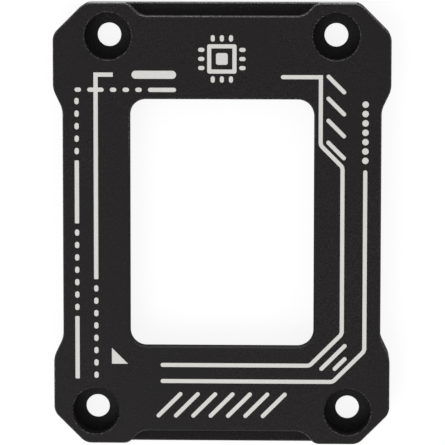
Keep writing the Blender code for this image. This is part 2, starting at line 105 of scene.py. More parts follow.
# Edges of the window, from which the marks are measured
WINDOW_SIDE = WINDOW[0]
WINDOW_TOP = SOCKET_SHIFT + WINDOW[1]
WINDOW_BOTTOM = SOCKET_SHIFT - WINDOW[1]

# Columns and rows of the marks
LEFT_LINE_X = -WINDOW_SIDE - 5.43 * MM
LEFT_DOTS_X = -WINDOW_SIDE - 8.48 * MM
RIGHT_LINE_X = WINDOW_SIDE + 1.05 * MM
RIGHT_OUTER_X = WINDOW_SIDE + 8.19 * MM
TOP_ROW_Y = WINDOW_TOP + 3.9 * MM
SECOND_ROW_Y = WINDOW_TOP + 1.49 * MM
BOTTOM_ROW_Y = WINDOW_BOTTOM - 3.0 * MM
BOTTOM_OUTER_Y = WINDOW_BOTTOM - 5.62 * MM

# How far the right line steps out, which is also how far apart the slanted strokes beside it are
RIGHT_STEP = 3.51 * MM

# Dots, bars and lines that the marks are made of, and the sine of a turn from which a bend is sharp
DOT_LENGTH = 1.06 * MM
DOT_GAP = 0.945 * MM
DOT_STEP = DOT_LENGTH + DOT_GAP
BAR_END_RADIUS = 0.16 * MM
MARK_CORNER = 0.04 * MM
BEND_RADIUS = 1.1 * MM
SHARP_TURN = 0.9

# Dots over and under the upper bar of the left column, dots that carry the hooked line on, round dots
# and slanted strokes on the right, and strokes at the foot
UPPER_DOTS = 5
LOWER_DOTS = 7
LINE_DOTS = 8
ROUND_DOTS = 7
RIGHT_SLANTS = 4
FOOT_STROKES = 7

# Corners of one long side of the block's outline, and of one ledge's dip in it
SIDE_CORNERS = 8
DIP_CORNERS = 5

# Height of the unit normal on a chamfer, how far it may be off, and its most on an upright wall
EDGE_LEAN = 0.7
EDGE_SPREAD = 0.22
WALL_LEAN = 0.3

# How far off the ledges' height, or off the plane of an end wall, a point still counts as theirs
PLANE_SPREAD = 0.05 * MM

# Place that the painted highlight on the chamfers spares, the distances from it at which it begins
# and is full, and the heights of the grain, from 0 to 1, at which its flecks begin and are full
GLINT_FREE_PLACE = (0.0, -10.0 * MM, 0.0)
GLINT_DISTANCES = (24.0 * MM, 29.0 * MM)
GLINT_FLECK_HEIGHTS = (0.5, 0.6)

# Inputs of the grain's node group, for the black layer and for the bare metal, which has no specks,
# and the height of the metal's grain
BLACK_GRAIN = {"Grain Scale": 5200.0, "Grain": 5.0, "Cloud Scale": 70.0, "Cloud": 0.4,
               "Speck Scale": 4200.0, "Speck": 20.0}
METAL_GRAIN = {"Grain Scale": 7000.0, "Grain": 0.25, "Cloud Scale": 120.0, "Cloud": 0.12,
               "Speck": 0.0}
METAL_GRAIN_DEPTH = 0.002 * MM

# Noise of the clouds at which patches of grain begin and are full, the share of the grain at each,
# and the noise above which a speck shows
PATCH_CLOUDS = (0.4, 0.65)
PATCH_SHARES = (0.2, 2.2)
SPECK_START = 0.7

# How far the black layer's roughness goes up and down with its grain, and the range of the bare
# metal's roughness
ROUGHNESS_SPREAD = 0.06
METAL_ROUGHNESS = (0.42, 0.58)

# Lamps, as place and (width, height), the width of the camera's film in millimetres, and the nearest
# and farthest that it sees
MAIN_LIGHT = ((-0.35, -0.5, 0.8), (0.6, 0.6))
STRIP_LIGHT = ((0.0, 0.8, 0.011), (1.4, 0.018))
FILM_WIDTH = 36.0
NEAREST = 0.01
FARTHEST = 20.0
WHITE = (1.0, 1.0, 1.0, 1.0)

# Distance below which points are one, kind and tolerance of the triangulation, and the gap that keeps
# the floor off the underside
WELD_DISTANCE = 1e-9
CDT_ALL = 0
CDT_TOLERANCE = 1e-6
FLOOR_GAP = 0.02 * MM


def corner_arcs(corners, count):
    """Outline with a round arc at each of its corners, and its normals.

    A corner is a row (x, y, radius). With the heading h into it and the turn t there, the signed
    radius is r = radius * sign(t) and the arc's centre is C = corner - r tan(t / 2) (cos h, sin h)
    + r (-sin h, cos h). Its points are C + r N for N = (sin(h + u t), -cos(h + u t)), with u from 0
    to 1. N points out of an outline that is walked counterclockwise.
    """
    corners = np.asarray(corners, float)
    place = corners[:, :2]
    step_in = place - np.roll(place, 1, axis=0)
    step_out = np.roll(place, -1, axis=0) - place
    heading = np.arctan2(step_in[:, 1], step_in[:, 0])
    turn = np.arctan2(step_out[:, 1], step_out[:, 0]) - heading
    turn = (turn + np.pi) % (2 * np.pi) - np.pi
    radius = corners[:, 2] * np.sign(turn)
    forward = np.stack([np.cos(heading), np.sin(heading)], axis=1)
    left = np.stack([-forward[:, 1], forward[:, 0]], axis=1)
    centre = place - (radius * np.tan(turn / 2))[:, None] * forward + radius[:, None] * left
    angle = heading[:, None] + turn[:, None] * np.linspace(0.0, 1.0, count)
    normal = np.stack([np.sin(angle), -np.cos(angle)], axis=2)
    points = centre[:, None, :] + radius[:, None, None] * normal
    return points.reshape(-1, 2), normal.reshape(-1, 2)


def profile_arcs(corners, count):
    """Open profile of (offset, height, radius) rows, with an arc at each inner corner.

    It is the closed outline of corner_arcs with the arcs of its first and last corner left out and
    those two corners put back, each with the normal of the straight piece next to it.
    """
    corners = np.asarray(corners, float)
    points, normals = corner_arcs(corners, count)
    inner_points = points[count:-count]
    inner_normals = normals[count:-count]
    points = np.concatenate([corners[:1, :2], inner_points, corners[-1:, :2]])
    normals = np.concatenate([inner_normals[:1], inner_normals, inner_normals[-1:]])
    return points, normals


def carried(outline, profile):
    """Profile carried along an outline: S(i, j) = (P_j + a_i N_j, z_i), normal (m_i N_j, n_i).

    P and N are the outline's points and normals, (a, z) the profile's points as offset and height,
    and (m, n) the profile's normals.
    """
    (points, normals), (steps, step_normals) = outline, profile
    flat = points[None, :, :] + steps[:, None, :1] * normals[None, :, :]
    height = np.broadcast_to(steps[:, None, 1:], flat.shape[:2] + (1,))
    flat_normal = step_normals[:, None, :1] * normals[None, :, :]
    height_normal = np.broadcast_to(step_normals[:, None, 1:], flat.shape[:2] + (1,))
    surface = np.concatenate([flat, height], axis=2)
    return surface, np.concatenate([flat_normal, height_normal], axis=2)


def first_loop(wall):
    """Outline on which a carried profile begins."""
    return wall[0][0, :, :2]


def last_loop(wall):
    """Outline on which a carried profile ends."""
    return wall[0][-1, :, :2]


def lies_within(points, loops):
    """Whether each point lies inside an odd number of the outlines.

    It counts the sides A to B that a ray from the point (x, y) along +X crosses: those with one end
    above y and the other not, and with x < A_x + (y - A_y) (B_x - A_x) / (B_y - A_y).
    """
    x, y = points[:, :1], points[:, 1:]
    crossings = 0
    for loop in loops:
        start_x, start_y = loop.T
        end_x, end_y = np.roll(loop, -1, axis=0).T
        across = (start_y > y) != (end_y > y)
        rise = np.where(start_y == end_y, 1.0, end_y - start_y)
        crossing_x = start_x + (y - start_y) * (end_x - start_x) / rise
        crossings = crossings + (across & (x < crossing_x)).sum(axis=1)
    return crossings % 2 == 1


class Shell:
    """Closed surface that is put together from grids and flat faces, then welded."""

    def __init__(self):
        self.points = []
        self.normals = []
        self.faces = []
        self.count = 0

    def add(self, points, normals, faces):
        """Add faces of four point numbers each, turned to face the way their normals point.

        A triangle repeats its last number.
        """
        points = points.reshape(-1, 3)
        normals = normals.reshape(-1, 3)
        corner = points[faces]
        across = np.cross(corner[:, 2] - corner[:, 0], corner[:, 3] - corner[:, 1])
        triangle = faces[:, 2] == faces[:, 3]
        edge_cross = np.cross(corner[:, 1] - corner[:, 0], corner[:, 2] - corner[:, 0])
        across[triangle] = edge_cross[triangle]
        wrong = np.einsum("ij,ij->i", across, normals[faces].sum(axis=1)) < 0
        faces = np.where(wrong[:, None], faces[:, ::-1], faces)
        self.points.append(points)
        self.normals.append(normals)
        self.faces.append(faces + self.count)
        self.count += len(points)

    def add_grid(self, points, normals):
        """Add the surface of a grid whose rows each close on themselves."""
        rows, columns = points.shape[:2]
        index = np.arange(rows * columns).reshape(rows, columns)
        after = np.roll(index, -1, axis=1)
        faces = np.stack([index[:-1], after[:-1], after[1:], index[1:]], axis=2)
        self.add(points, normals, faces.reshape(-1, 4))

    def add_ring(self, inner, outer, height, up):
        """Add the flat ring between two outlines that have as many points: S = A + v (B - A)."""
        rows = np.stack([inner, outer])
        points = np.concatenate([rows, np.full(rows.shape[:2] + (1,), height)], axis=2)
        self.add_grid(points, np.broadcast_to((0.0, 0.0, up), points.shape))

    def add_flat(self, loops, height, up):
        """Add the flat face at one height that lies inside an odd number of the outlines.

        It takes those triangles of their constrained Delaunay net whose middles lie there.
        """
        flat = np.concatenate(loops)
        ends = np.cumsum([len(loop) for loop in loops])
        rings = []
        for loop, end in zip(loops, ends):
            apart = np.abs(loop - np.roll(loop, -1, axis=0)).max(axis=1) > WELD_DISTANCE
            rings.append((np.flatnonzero(apart) + end - len(loop)).tolist())
        _, _, triangles, origins, _, _ = delaunay_2d_cdt(
            [Vector(point) for point in (flat / MM).tolist()], [], rings, CDT_ALL, CDT_TOLERANCE)
        source = np.array([origin[0] if origin else -1 for origin in origins])
        triangles = source[np.array(triangles)]
        if (triangles < 0).any():
            raise ValueError("two outlines cross at height %.6f" % height)
        triangles = triangles[lies_within(flat[triangles].mean(axis=1), loops)]
        points = np.column_stack([flat, np.full(len(flat), height)])
        faces = np.column_stack([triangles, triangles[:, 2]])
        self.add(points, np.broadcast_to((0.0, 0.0, up), points.shape), faces)

    def to_mesh(self, name):
        """Weld points that share a place, drop faces with no area and keep each corner's normal."""
        points = np.concatenate(self.points)
        normals = np.concatenate(self.normals)
        corners = np.concatenate(self.faces)
        keys = np.round(points / WELD_DISTANCE).astype(np.int64)
        _, first, welded = np.unique(keys, axis=0, return_index=True, return_inverse=True)
        faces = welded.ravel()[corners]
        repeated = faces == np.roll(faces, -1, axis=1)
        folded = (faces[:, 0] == faces[:, 2]) | (faces[:, 1] == faces[:, 3])
        quads = ~repeated.any(axis=1) & ~folded
        triangles = repeated.sum(axis=1) == 1
        kept = ~repeated[triangles]
        loop_vertices = np.concatenate([faces[quads].ravel(), faces[triangles][kept]])
        loop_sources = np.concatenate([corners[quads].ravel(), corners[triangles][kept]])
        sizes = np.repeat([4, 3], [quads.sum(), triangles.sum()])
        mesh = bpy.data.meshes.new(name)
        mesh.vertices.add(len(first))
        mesh.vertices.foreach_set("co", points[first].astype(np.float32).ravel())
        mesh.loops.add(len(loop_vertices))
        mesh.loops.foreach_set("vertex_index", loop_vertices.astype(np.int32))
        mesh.polygons.add(len(sizes))
        mesh.polygons.foreach_set("loop_start", (np.cumsum(sizes) - sizes).astype(np.int32))
        mesh.polygons.foreach_set("use_smooth", np.ones(len(sizes), bool))
        mesh.update(calc_edges=True)
        mesh.normals_split_custom_set(normals[loop_sources].tolist())
        return mesh


def new_piece(name, mesh, material):
    """Put a finished mesh into the scene as one piece that rides on the frame."""
    mesh.materials.append(material)
    piece = bpy.data.objects.new(name, mesh)
    bpy.context.scene.collection.objects.link(piece)
    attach(piece, "root")
    return piece


def block_outline(count):
    """Outline of the marked face: four cut corners, a waist, and a dip for the ledge at each end."""
    lug_inner = HALF_LENGTH - LUG_LENGTH
    waist_end = lug_inner - SHOULDER_LENGTH
    waist_half = HALF_WIDTH - LUG_STEP
    tip = LEDGE_LENGTH / 2
    side = np.array([
        (HALF_WIDTH - CORNER_CUT, -HALF_LENGTH, CORNER_RADIUS),
        (HALF_WIDTH, CORNER_CUT - HALF_LENGTH, CORNER_RADIUS),
        (HALF_WIDTH, SHOULDER_SHIFT - lug_inner, SHOULDER_RADIUS),
        (waist_half, SHOULDER_SHIFT - waist_end, SHOULDER_RADIUS),
        (waist_half, SHOULDER_SHIFT + waist_end, SHOULDER_RADIUS),
        (HALF_WIDTH, SHOULDER_SHIFT + lug_inner, SHOULDER_RADIUS),
        (HALF_WIDTH, HALF_LENGTH - CORNER_CUT, CORNER_RADIUS),
        (HALF_WIDTH - CORNER_CUT, HALF_LENGTH, CORNER_RADIUS),
    ])
    dip = np.array([
        (tip, HALF_LENGTH, LEDGE_TIP_RADIUS),
        (tip - LEDGE_WIDTH, HALF_LENGTH - LEDGE_WIDTH, LEDGE_RADIUS),
        (0.0, HALF_LENGTH - LEDGE_WIDTH, 0.0),
        (LEDGE_WIDTH - tip, HALF_LENGTH - LEDGE_WIDTH, LEDGE_RADIUS),
        (-tip, HALF_LENGTH, LEDGE_TIP_RADIUS),
    ])
    other_side = side[::-1] * (-1, 1, 1)
    other_dip = dip * (-1, -1, 1)
    return corner_arcs(np.concatenate([side, dip, other_side, other_dip]), count)


def full_outline(upper):
    """Outline of the block under its ledges: the dips of the upper one pushed out to the ends."""
    points, normals = upper
    in_half = np.repeat([False, True], [SIDE_CORNERS, DIP_CORNERS])
    in_dip = np.repeat(np.tile(in_half, 2), len(points) // (2 * len(in_half)))
    side = np.sign(points[:, 1])
    full_points = points.copy()
    full_normals = normals.copy()
    full_points[in_dip, 1] = side[in_dip] * HALF_LENGTH
    full_normals[in_dip] = np.stack([np.zeros(in_dip.sum()), side[in_dip]], axis=1)
    return full_points, full_normals


def rounded_rectangle(size, count):
    """Outline of a recess or the window, about the socket's middle."""
    half_width, half_length, radius = size
    corners = np.array([(-1, -1), (1, -1), (1, 1), (-1, 1)]) * (half_width, half_length)
    corners = corners + (0.0, SOCKET_SHIFT)
    return corner_arcs(np.column_stack([corners, np.full(4, radius)]), count)


def circle(x, y, count):
    """Centre repeated with the normals of a circle: P = (x, y), N = (cos a, sin a)."""
    angle = np.linspace(0.0, 2 * np.pi, count, endpoint=False)
    normals = np.stack([np.cos(angle), np.sin(angle)], axis=1)
    return np.broadcast_to((x, y), normals.shape), normals


def straight(x, y, width, length, radius):
    """Corners of an upright bar with round corners, centred on (x, y)."""
    half_x = width / 2
    half_y = length / 2
    return [(x - half_x, y - half_y, radius), (x + half_x, y - half_y, radius),
            (x + half_x, y + half_y, radius), (x - half_x, y + half_y, radius)]


def pill(x, y, width, length):
    """Bar whose ends are half circles."""
    return straight(x, y, width, length, min(width, length) / 2)


def stroke(path, width, bend_radius, end_radius):
    """Corners of a line of constant width along a path of (x, y) points.

    At a bend the offset goes halfway between the right-hand normals of its two steps, and is half
    the width divided by the cosine of half the turn. The middle of a slight bend has the radius
    bend_radius. Each end is cut square, its two corners rounded by end_radius.
    """
    path = np.asarray(path, float)
    half = width / 2
    step = np.diff(path, axis=0)
    step = step / np.linalg.norm(step, axis=1)[:, None]
    right = np.stack([step[:, 1], -step[:, 0]], axis=1)
    middle = right[:-1] + right[1:]
    middle = middle / (1 + np.einsum("ij,ij->i", right[:-1], right[1:]))[:, None]
    offset = half * np.concatenate([right[:1], middle, right[-1:]])
    turn = np.cross(step[:-1], step[1:])
    slight = np.abs(turn) < SHARP_TURN
    right_bends = np.where(slight, bend_radius + half * np.sign(turn), MARK_CORNER)
    left_bends = np.where(slight, bend_radius - half * np.sign(turn), MARK_CORNER)
    end = [end_radius]
    right_side = np.column_stack([path + offset, np.concatenate([end, right_bends, end])])
    left_side = np.column_stack([path - offset, np.concatenate([end, left_bends, end])])
    return np.concatenate([right_side, left_side[::-1]])


def slant(x, y, reach, rise, width):
    """Stroke at 45 degrees from the corner (x, y) of the square that it fills."""
    inset = width / 2 * (1 - np.sqrt(0.5))
    return stroke([(x + inset, y + rise * inset), (x + reach - inset, y + rise * (reach - inset))],
                  width, 0.0, width / 2)


def run_down(x, top_y, lengths, width):
    """Column of dots and bars from top_y downwards, with the same gap after each one."""
    lengths = np.asarray(lengths)
    tops = top_y - np.concatenate([[0.0], np.cumsum(lengths + DOT_GAP)[:-1]])
    radii = np.where(lengths == DOT_LENGTH, width / 2, BAR_END_RADIUS)
    return [straight(x, top - length / 2, width, length, radius)
            for top, length, radius in zip(tops, lengths, radii)]


def left_line_foot():
    """Place along +Y at which the hooked line gives way to dots."""
    return WINDOW_BOTTOM - 5.19 * MM + LINE_DOTS * DOT_STEP


def left_marks(width):
    """Column of dots and bars, and the dots that carry the hooked line on to its foot."""
    dots_top = SECOND_ROW_Y - 1.3 * MM
    dots_foot = WINDOW_BOTTOM - 5.29 * MM
    bar = (dots_top - dots_foot - (UPPER_DOTS + LOWER_DOTS) * DOT_STEP - DOT_GAP) / 2
    lengths = [DOT_LENGTH] * UPPER_DOTS + [bar] + [DOT_LENGTH] * LOWER_DOTS + [bar]
    line_top = left_line_foot() - DOT_GAP
    return (run_down(LEFT_DOTS_X, dots_top, lengths, width)
            + run_down(LEFT_LINE_X, line_top, [DOT_LENGTH] * LINE_DOTS, width))


def second_row_marks(width):
    """First dot of the row, its dots and pill right of the line, and the bar that crosses the line.

    The bar is given as its left and right end, because it shares its outline with the line.
    """
    left = LEFT_DOTS_X - 0.33 * MM
    gap = 0.97 * MM
    bar_length = 2.65 * MM
    pill_length = 4.51 * MM
    lengths = np.array([DOT_LENGTH, bar_length, DOT_LENGTH, DOT_LENGTH, DOT_LENGTH, pill_length])
    starts = left + np.concatenate([[0.0], np.cumsum(lengths + gap)[:-1]])
    middles = starts + lengths / 2
    marks = [pill(x, SECOND_ROW_Y, length, width) for x, length in zip(middles, lengths)]
    bar = 1
    marks.pop(bar)
    return marks, starts[bar], starts[bar] + lengths[bar]


def hooked_line(width, bar_left, bar_right):
    """Outline of the hooked line and the bar that crosses it, walked counterclockwise."""
    half = width / 2
    x = LEFT_LINE_X
    tip_x = x + 2.77 * MM
    foot = left_line_foot()
    row = SECOND_ROW_Y
    return [
        (tip_x, TOP_ROW_Y + half, MARK_CORNER),
        (x - half, TOP_ROW_Y + half, MARK_CORNER),
        (x - half, row + half, MARK_CORNER),
        (bar_left, row + half, half),
        (bar_left, row - half, half),
        (x - half, row - half, MARK_CORNER),
        (x - half, foot, BAR_END_RADIUS),
        (x + half, foot, BAR_END_RADIUS),
        (x + half, row - half, MARK_CORNER),
        (bar_right, row - half, half),
        (bar_right, row + half, half),
        (x + half, row + half, MARK_CORNER),
        (x + half, TOP_ROW_Y - half, MARK_CORNER),
        (tip_x, TOP_ROW_Y - half, MARK_CORNER),
    ]


def bent_lines(width):
    """Two bent lines down the right side, and the round dots over the outer one."""
    foot_end = 4.89 * MM - WINDOW_SIDE
    hook_tip = RIGHT_LINE_X - 6.38 * MM
    top_y = TOP_ROW_Y - 0.32 * MM
    step_y = WINDOW_TOP - 7.3 * MM
    lower_x = RIGHT_LINE_X + RIGHT_STEP
    inner_bend = 5.15 * MM
    outer_bend = 5.05 * MM
    dots_y = WINDOW_TOP - 0.76 * MM
    pitch = 1.5 * MM
    diameter = 1.07 * MM
    inner = [(hook_tip, top_y), (RIGHT_LINE_X, top_y), (RIGHT_LINE_X, step_y),
             (lower_x, step_y - RIGHT_STEP), (lower_x, BOTTOM_ROW_Y + inner_bend),
             (lower_x - inner_bend, BOTTOM_ROW_Y), (foot_end, BOTTOM_ROW_Y)]
    outer = [(RIGHT_OUTER_X, dots_y - ROUND_DOTS * pitch),
             (RIGHT_OUTER_X, BOTTOM_OUTER_Y + outer_bend),
             (RIGHT_OUTER_X - outer_bend, BOTTOM_OUTER_Y), (foot_end, BOTTOM_OUTER_Y)]
    lines = [stroke(path, width, BEND_RADIUS, width / 2) for path in (inner, outer)]
    return lines + [pill(RIGHT_OUTER_X, dots_y - index * pitch, diameter, diameter)
                    for index in range(ROUND_DOTS)]


def slanted_strokes(width):
    """Slanted strokes down the right of the window, and two past its lower right corner."""
    x = RIGHT_LINE_X + 0.88 * MM
    y = WINDOW_TOP + 4.01 * MM
    reach = 3.17 * MM
    foot_x = RIGHT_LINE_X + 4.32 * MM
    foot_y = WINDOW_BOTTOM - 3.83 * MM
    foot_reaches = (4.39 * MM, 2.26 * MM)
    strokes = [slant(x, y - index * RIGHT_STEP, reach, -1, width) for index in range(RIGHT_SLANTS)]
    return strokes + [slant(foot_x - length, foot_y, length, 1, width) for length in foot_reaches]


def triangle_mark():
    """Solid triangle at the socket's marked corner."""
    x = LEFT_LINE_X + 2.48 * MM
    y = BOTTOM_ROW_Y + 0.14 * MM
    leg = 2.63 * MM
    return [(x, y, MARK_CORNER), (x + leg, y, MARK_CORNER), (x, y + leg, MARK_CORNER)]


def chip_marks(width):
    """Plain picture of a chip above the window: a square, its core and three pins a side."""
    y = WINDOW_TOP + 6.45 * MM
    body = 4.7 * MM
    corner = 0.35 * MM
    core = 1.9 * MM
    pin = 1.05 * MM
    pin_gap = 0.4 * MM
    pin_pitch = 1.45 * MM
    reach = body / 2 + pin_gap + pin / 2
    hollow = straight(0.0, y, body - 2 * width, body - 2 * width, MARK_CORNER)[::-1]
    marks = [straight(0.0, y, body, body, corner), hollow, straight(0.0, y, core, core, corner)]
    for along in (-pin_pitch, 0.0, pin_pitch):
        marks += [pill(along, y + side * reach, width, pin) for side in (-1, 1)]
        marks += [pill(side * reach, y + along, pin, width) for side in (-1, 1)]
    return marks


def foot_marks(width):
    """Row of plain slanted strokes at the foot of the face."""
    height = 4.2 * MM
    pitch = 2.8 * MM
    y = WINDOW_BOTTOM - 9.49 * MM - height / 2
    middles = (np.arange(FOOT_STROKES) - (FOOT_STROKES - 1) / 2) * pitch
    return [slant(middle - height / 2, y, height, 1, width) for middle in middles]


def mark_outlines(sizes):
    """Outlines of all the marks, each walked with the block's metal on its right."""
    row, bar_left, bar_right = second_row_marks(sizes.dot_width)
    pill_end = 7.44 * MM - WINDOW_SIDE
    pill_length = 7.14 * MM
    pill_width = 1.31 * MM
    marks = row + [
        hooked_line(sizes.dot_width, bar_left, bar_right),
        pill(pill_end - pill_length / 2, TOP_ROW_Y, pill_length, pill_width),
        triangle_mark(),
    ]
    marks += left_marks(sizes.dot_width)
    for make in (bent_lines, slanted_strokes, chip_marks, foot_marks):
        marks += make(sizes.mark_width)
    return [corner_arcs(mark, sizes.mark_arc_points) for mark in marks]


def add_outer_walls(shell, sizes):
    """Side walls of the block with their ledges; gives the loops of the underside and the face.

    With the outline's points P and normals N under the ledges, the chamfer along a ledge goes from
    P to P - cut share N, where share = min(1, depth / cut) and depth is how far the ledge reaches
    in. So the chamfer runs out where the ledge does.
    """
    cut = sizes.edge_break
    soft = sizes.edge_softness
    arcs = sizes.edge_points
    upper = block_outline(sizes.arc_points)
    lower = full_outline(upper)
    low_wall = carried(lower, profile_arcs(
        [(-cut, 0.0, 0.0), (0.0, cut, soft), (0.0, LEDGE_HEIGHT - cut, 0.0)], arcs))
    high_wall = carried(upper, profile_arcs(
        [(0.0, LEDGE_HEIGHT, 0.0), (0.0, FACE - cut, soft), (-cut, FACE, 0.0)], arcs))
    shell.add_grid(*low_wall)
    shell.add_grid(*high_wall)
    depth = np.abs(lower[0][:, 1] - upper[0][:, 1])
    share = np.clip(depth / cut, 0.0, 1.0)[:, None]
    edge = lower[0] - cut * share * lower[1]
    heights = np.broadcast_to([[[LEDGE_HEIGHT - cut]], [[LEDGE_HEIGHT]]], (2, len(edge), 1))
    slope = np.concatenate([lower[1], share], axis=1)
    slope = slope / np.linalg.norm(slope, axis=1)[:, None]
    chamfer = np.concatenate([np.stack([lower[0], edge]), heights], axis=2)
    shell.add_grid(chamfer, np.stack([slope, slope]))
    shell.add_ring(edge, upper[0], LEDGE_HEIGHT, 1.0)
    return first_loop(low_wall), last_loop(high_wall)


def add_window_and_recesses(shell, sizes):
    """Walls and ceilings from the face's window down to the underside; gives both their loops."""
    cut = sizes.edge_break
    soft = sizes.edge_softness
    arcs = sizes.edge_points
    window, rim, package, socket = (
        rounded_rectangle(size, sizes.arc_points) for size in (WINDOW, RIM, PACKAGE, SOCKET))
    window_wall = carried(window, profile_arcs(
        [(cut, FACE, 0.0), (0.0, FACE - cut, soft),
         (0.0, RIM_FACE + soft, 0.0), (soft, RIM_FACE, 0.0)], arcs))
    rim_wall = carried(rim, profile_arcs(
        [(-soft, RIM_FACE, 0.0), (0.0, RIM_FACE + soft, 0.0), (0.0, CEILING, 0.0)], arcs))
    package_wall = carried(package, profile_arcs(
        [(0.0, CEILING, 0.0), (0.0, SOCKET_DEPTH + soft, 0.0), (soft, SOCKET_DEPTH, 0.0)], arcs))
    socket_wall = carried(socket, profile_arcs(
        [(0.0, SOCKET_DEPTH, 0.0), (0.0, soft, 0.0), (soft, 0.0, 0.0)], arcs))
    for wall in (window_wall, rim_wall, package_wall, socket_wall):
        shell.add_grid(*wall)
    for upper, lower, height in ((window_wall, rim_wall, RIM_FACE), (rim_wall, package_wall, CEILING),
                                 (package_wall, socket_wall, SOCKET_DEPTH)):
        shell.add_ring(last_loop(upper), first_loop(lower), height, -1.0)
    return last_loop(socket_wall), first_loop(window_wall)


def add_screw_hole(shell, x, y, sizes):
    """Stepped screw hole turned about its axis; gives its loops on the underside and the face."""
    cut = sizes.edge_break
    soft = sizes.edge_softness
    wall = carried(circle(x, y, sizes.hole_points), profile_arcs([
        (BORE_RADIUS + cut, FACE, 0.0),
        (BORE_RADIUS, FACE - cut, soft),
        (BORE_RADIUS, SEAT_HEIGHT, soft),
        (HOLE_RADIUS + soft, SEAT_HEIGHT, 0.0),
        (HOLE_RADIUS, SEAT_HEIGHT - soft, 0.0),
        (HOLE_RADIUS, RELIEF_DEPTH + soft, 0.0),
        (HOLE_RADIUS + soft, RELIEF_DEPTH, 0.0),
        (RELIEF_RADIUS, RELIEF_DEPTH, soft),
        (RELIEF_RADIUS, soft, 0.0),
        (RELIEF_RADIUS + soft, 0.0, 0.0),
    ], sizes.edge_points))
    shell.add_grid(*wall)
    return last_loop(wall), first_loop(wall)


def add_mark_walls(shell, sizes, profile):
    """Sharp profile carried along the outline of every mark; gives their first and last loops."""
    steps = profile_arcs(profile, count=2)
    walls = [carried(outline, steps) for outline in mark_outlines(sizes)]
    for wall in walls:
        shell.add_grid(*wall)
    return [first_loop(wall) for wall in walls], [last_loop(wall) for wall in walls]


def add_mark_pockets(shell, sizes):
    """Shallow engraved pockets with their floors; gives their loops on the face."""
    lip = sizes.mark_lip
    floor = FACE - sizes.mark_depth
    rims, feet = add_mark_walls(
        shell, sizes, [(lip, FACE, 0.0), (0.0, FACE - lip, 0.0), (0.0, floor, 0.0)])
    shell.add_flat(feet, floor, 1.0)
    return rims


def frame_mesh(sizes):
    """Closed surface of the milled frame."""
    shell = Shell()
    loops = [add_outer_walls(shell, sizes), add_window_and_recesses(shell, sizes)]
    for x, y in ((HOLE_X_TOP, HOLE_Y), (HOLE_X_BOTTOM, -HOLE_Y)):
        loops += [add_screw_hole(shell, side * x, y, sizes) for side in (-1, 1)]
    under, face = (list(side) for side in zip(*loops))
    shell.add_flat(under, 0.0, -1.0)
    shell.add_flat(face + add_mark_pockets(shell, sizes), FACE, 1.0)
    return shell.to_mesh("frame_body")


def mark_mesh(sizes):
    """Thin plates that fill the foot of the engraved pockets, as one closed surface each."""
    edge = sizes.mark_clearance
    top = FACE - sizes.mark_sink
    bottom = FACE - sizes.mark_depth - edge
    shell = Shell()
    lower, upper = add_mark_walls(
        shell, sizes, [(-edge, bottom, 0.0), (-edge, top - edge, 0.0), (-2 * edge, top, 0.0)])
    shell.add_flat(upper, top, 1.0)
    shell.add_flat(lower, bottom, -1.0)
    return shell.to_mesh("engraved_marks")


def add_socket(group, side, kind, name, default=None):
    """Add one socket to a node group, with its default value if it has one."""
    socket = group.interface.new_socket(name=name, in_out=side, socket_type=kind)
    if default is not None:
        socket.default_value = default


def feed(tree, node, inputs):
    """Give inputs of a node, by name or number, their values or links from other nodes' outputs."""
    for name, value in inputs.items():
        if isinstance(value, bpy.types.NodeSocket):
            tree.links.new(value, node.inputs[name])
        else:
            node.inputs[name].default_value = value


def add_node(tree, kind, inputs, **settings):
    """Add a node, set its properties and feed its inputs."""
    node = tree.nodes.new(kind)
    for name, value in settings.items():
        setattr(node, name, value)
    feed(tree, node, inputs)
    return node


def maths(tree, operation, *values):
    """Output of a maths node whose inputs are the values, in their order."""
    return add_node(tree, "ShaderNodeMath", dict(enumerate(values)), operation=operation).outputs[0]


def ranged(tree, value, span=(0.0, 1.0), result=(0.0, 1.0)):
    """Output that goes from one end of result to the other while value does so over span."""
    limits = zip(("From Min", "From Max", "To Min", "To Max"), (*span, *result))
    return add_node(tree, "ShaderNodeMapRange", {"Value": value, **dict(limits)}).outputs["Result"]


def grain_group():
    """Node group of a blasted surface: fine grains that show in patches, clouds and bright specks.

    Three noises, fine, wide and dots, lie between 0 and 1, and patch grows with wide. Tone is
    1 + Cloud (wide - 0.5) + Grain patch (fine - 0.5) + Speck max(0, dots - SPECK_START), and Height
    is fine.
    """
    group = bpy.data.node_groups.get("blasted_grain")
    if group:
        return group
    group = bpy.data.node_groups.new("blasted_grain", "ShaderNodeTree")
    add_socket(group, "INPUT", "NodeSocketVector", "Vector")
    for name, default in BLACK_GRAIN.items():
        add_socket(group, "INPUT", "NodeSocketFloat", name, default)
    for name in ("Tone", "Height"):
        add_socket(group, "OUTPUT", "NodeSocketFloat", name)
    start = add_node(group, "NodeGroupInput", {}).outputs
    noises = (("Grain Scale", {"Detail": 2.0, "Roughness": 0.6}),
              ("Cloud Scale", {"Detail": 3.0, "Roughness": 0.55}),
              ("Speck Scale", {"Detail": 0.0}))
    fine, wide, dots = (
        add_node(group, "ShaderNodeTexNoise",
                 {"Vector": start["Vector"], "Scale": start[scale], **details}).outputs["Fac"]
        for scale, details in noises)
    patch = ranged(group, wide, span=PATCH_CLOUDS, result=PATCH_SHARES)
    grain = maths(group, "MULTIPLY", patch, start["Grain"])
    clouds = maths(group, "MULTIPLY_ADD", maths(group, "SUBTRACT", wide, 0.5), start["Cloud"], 1.0)
    grains = maths(group, "MULTIPLY_ADD", maths(group, "SUBTRACT", fine, 0.5), grain, clouds)
    over = maths(group, "MAXIMUM", maths(group, "SUBTRACT", dots, SPECK_START), 0.0)
    tone = maths(group, "MULTIPLY_ADD", over, start["Speck"], grains)
    add_node(group, "NodeGroupOutput", {"Tone": tone, "Height": fine})
    return group


